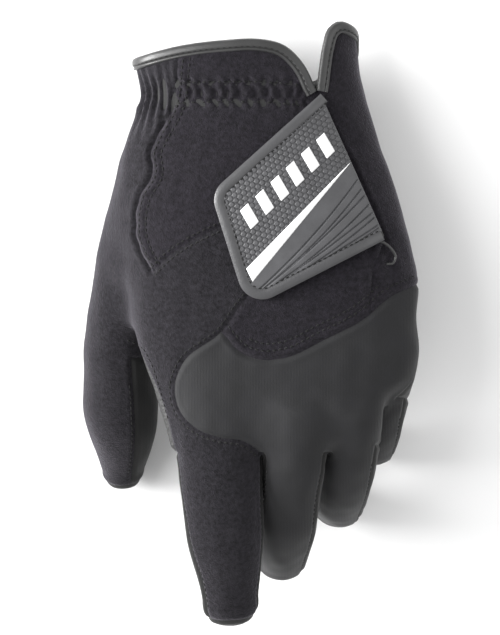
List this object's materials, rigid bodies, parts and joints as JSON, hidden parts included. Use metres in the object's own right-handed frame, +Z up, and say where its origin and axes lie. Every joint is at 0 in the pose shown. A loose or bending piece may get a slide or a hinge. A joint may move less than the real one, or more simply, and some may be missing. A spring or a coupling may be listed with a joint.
{
  "type": "golf glove",
  "caption": "Left-hand golf glove in black suede-like cloth and leather, with jointed stalls and a moulded closing tab at the wrist.",
  "frame": {"origin": "centre of the footprint, on the surface the glove lies on, palm down", "axes": "+Y from the fingertips to the wrist, +Z up out of the back of the hand, +X to the little-finger side"},
  "size_m": [0.126, 0.2234, 0.0692],
  "materials": {
    "back_suede": "brushed suede-like microfibre",
    "stretch_panel": "smooth matt stretch cloth",
    "palm_leather": "soft thin leather with fine grain",
    "stall_side_cloth": "dark stretch cloth",
    "binding_leather": "semi-gloss rolled edge",
    "tab_leather": "smooth leather",
    "badge_rubber": "moulded, satin",
    "white_inlay": "smooth white",
    "hook_and_loop": "hook and loop pile",
    "elastic_webbing": "ribbed elastic",
    "label_cloth": "woven, blank"
  },
  "bodies": {
    "hand": {"binding_tail": "binding_leather", "cuff_binding_back": "binding_leather", "cuff_binding_palm": "binding_leather", "cuff_binding_ulnar": "binding_leather", "index_back_panel": "back_suede", "knuckle_panel": "stretch_panel", "loop_patch": "hook_and_loop", "mid_back_panel": "back_suede", "palm_heel_patch": "palm_leather", "palm_panel": "palm_leather", "size_label": "label_cloth", "slit_gusset": "palm_leather", "ulnar_back_panel": "back_suede", "wrist_back_panel": "back_suede", "wrist_elastic": "elastic_webbing"},
    "tab": {"tab_base": "tab_leather", "tab_badge": "badge_rubber", "tab_stripe": "white_inlay", "tab_marks": "white_inlay", "tab_binding": "binding_leather", "hook_patch": "hook_and_loop"},
    "index_finger": {"index_back": "back_suede", "index_palm": "palm_leather", "index_radial_strip": "stall_side_cloth", "index_ulnar_strip": "stall_side_cloth"},
    "middle_finger": {"middle_back": "stretch_panel", "middle_palm": "palm_leather", "middle_radial_strip": "stall_side_cloth", "middle_ulnar_strip": "stall_side_cloth"},
    "ring_finger": {"ring_back": "stretch_panel", "ring_palm": "palm_leather", "ring_radial_strip": "stall_side_cloth", "ring_ulnar_strip": "stall_side_cloth"},
    "little_finger": {"little_back": "stretch_panel", "little_palm": "palm_leather", "little_radial_strip": "stall_side_cloth", "little_ulnar_strip": "stall_side_cloth"},
    "thumb": {"thumb_back": "back_suede", "thumb_inner_strip": "stall_side_cloth", "thumb_palm": "palm_leather"}
  },
  "joints": [
    {"name": "tab_opening", "type": "hinge", "parent": "hand", "child": "tab", "pos_m": [0.03845, 0.06138, 0.04784], "axis": [-0.4087, 0.8938, -0.1845], "range_deg": [0, 150]},
    {"name": "index_bend", "type": "hinge", "parent": "hand", "child": "index_finger", "pos_m": [-0.01285, -0.0477, 0.04427], "axis": [1, 0, 0], "range_deg": [-15, 60]},
    {"name": "middle_bend", "type": "hinge", "parent": "hand", "child": "middle_finger", "pos_m": [0.01715, -0.04799, 0.0432], "axis": [1, 0, 0], "range_deg": [-15, 50]},
    {"name": "ring_bend", "type": "hinge", "parent": "hand", "child": "ring_finger", "pos_m": [0.03735, -0.04374, 0.03976], "axis": [1, 0, 0], "range_deg": [-15, 40]},
    {"name": "little_bend", "type": "hinge", "parent": "hand", "child": "little_finger", "pos_m": [0.05445, -0.02988, 0.02966], "axis": [1, 0, 0], "range_deg": [-15, 40]},
    {"name": "thumb_swing", "type": "hinge", "parent": "hand", "child": "thumb", "pos_m": [-0.06335, -0.01769, 0.02106], "axis": [0, -0.2588, -0.9659], "range_deg": [0, 30]}
  ]
}
